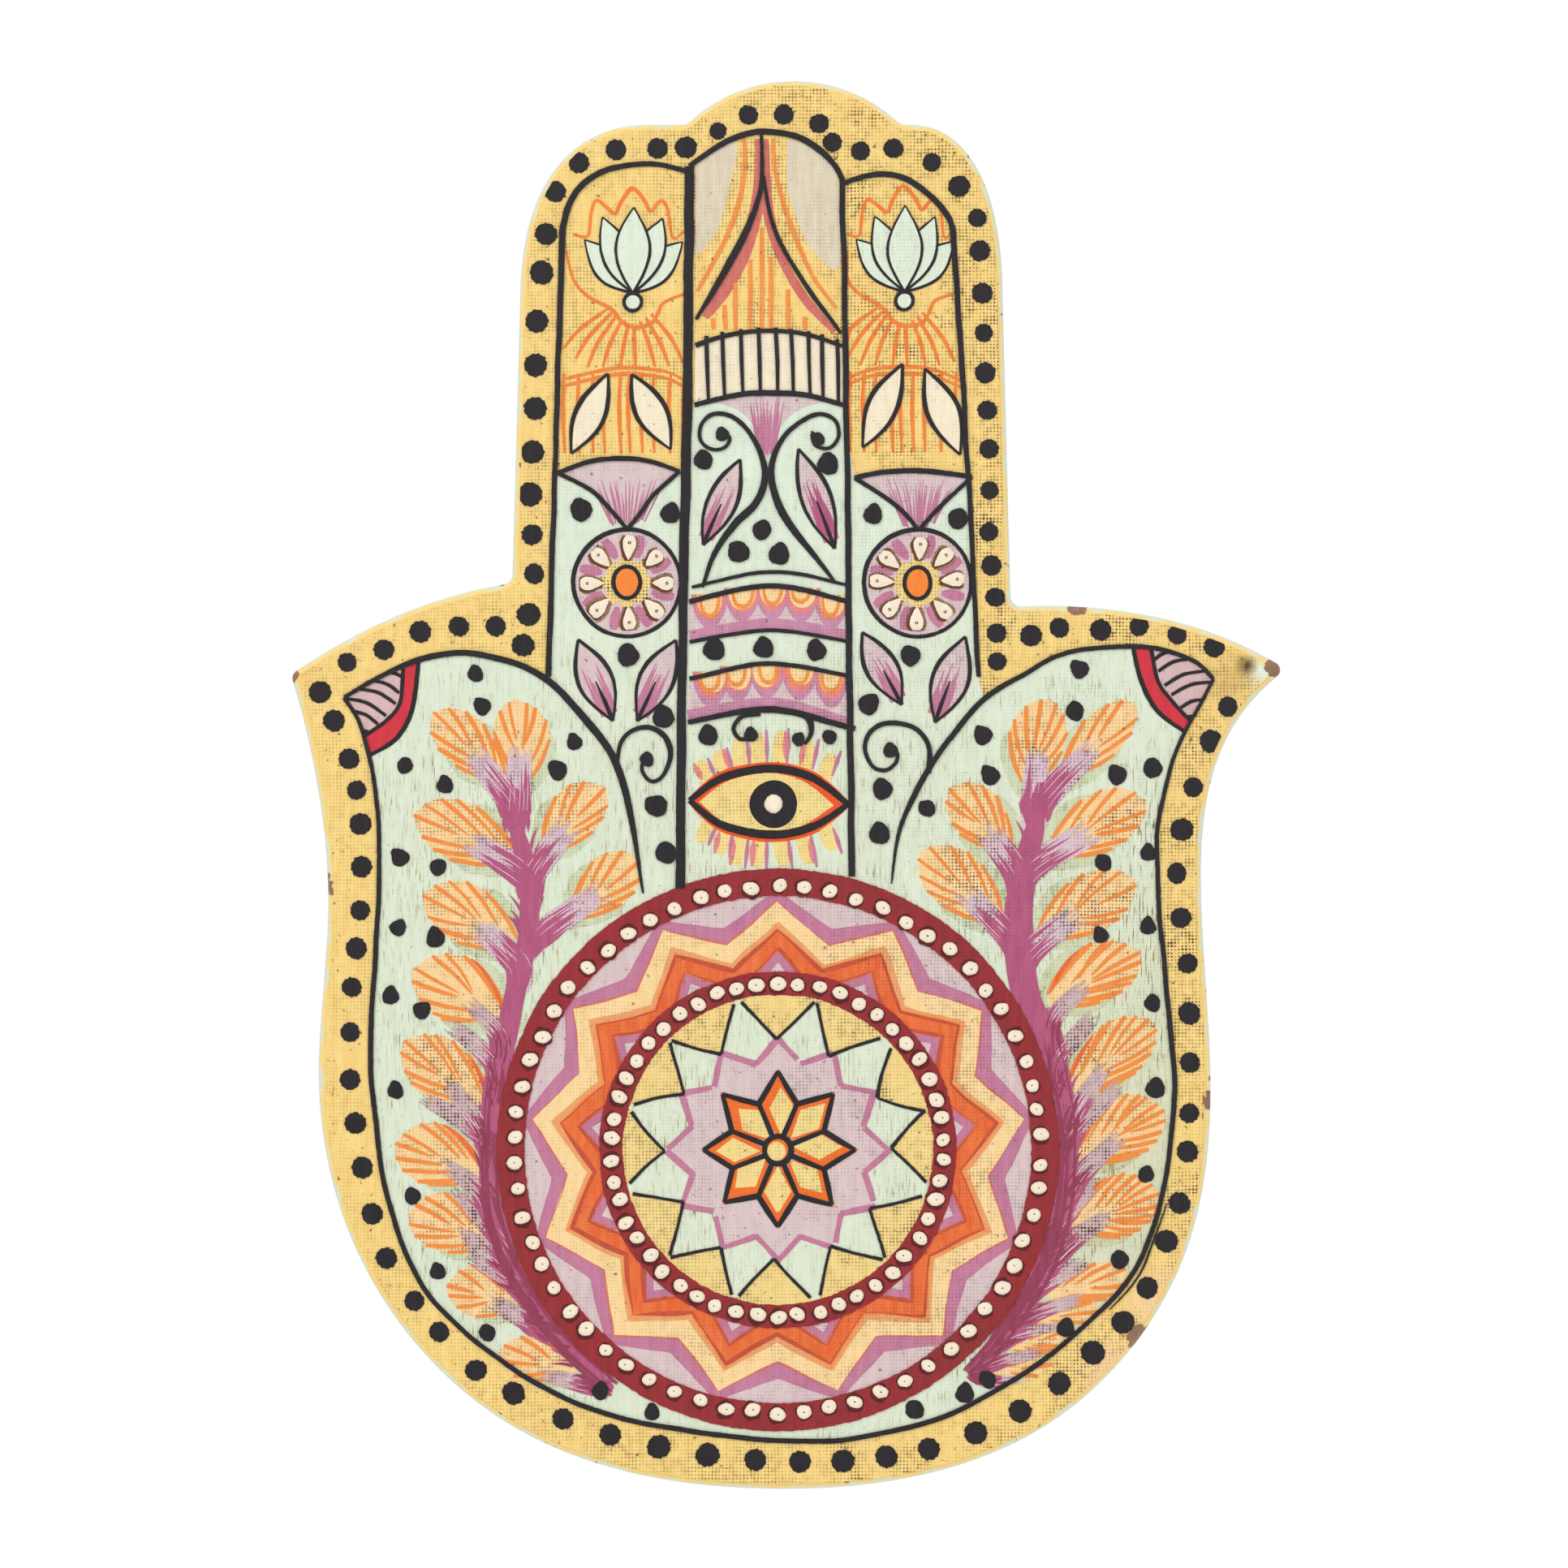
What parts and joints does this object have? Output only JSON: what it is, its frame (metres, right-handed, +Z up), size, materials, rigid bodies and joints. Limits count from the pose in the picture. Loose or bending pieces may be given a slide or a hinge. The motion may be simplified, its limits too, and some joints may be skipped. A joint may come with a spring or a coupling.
{
  "type": "hamsa hand wall plaque",
  "caption": "Flat wooden wall plaque sawn as a hamsa hand, with a painted cloth face, raised paint drops and a wire ring that swings in a strap recessed in its back to hang on a nail.",
  "frame": {"origin": "the point of the wall plane where the upright hanging ring bears on its nail", "axes": "+Z up the hand towards the fingertips, +Y out of the flat back into the wall, so the painted face looks along -Y, and +X to the viewer's right"},
  "size_m": [0.2105, 0.0163, 0.3],
  "materials": {
    "painted_wood": "matt mint paint over bare brown wood, chipped at the edges",
    "painted_cloth": "plain-woven cotton under matt folk-ornament paint",
    "cream_paint": "thick satin drops",
    "zinc_steel": "dull zinc plating"
  },
  "bodies": {
    "plaque": {"board": "painted_wood", "cloth_facing": "painted_cloth", "outer_ring_drops": "cream_paint", "inner_ring_drops": "cream_paint", "left_flower_drops": "cream_paint", "right_flower_drops": "cream_paint", "eye_drop": "cream_paint", "hanger_strap": "zinc_steel", "hanger_screw_upper": "zinc_steel", "hanger_screw_lower": "zinc_steel"},
    "ring": {"hanger_ring": "zinc_steel"}
  },
  "joints": [
    {"name": "ring_swing", "type": "hinge", "parent": "plaque", "child": "ring", "pos_m": [0, -0.00295, -0.01298], "axis": [-1, 0, 0], "range_deg": [0, 175]}
  ]
}
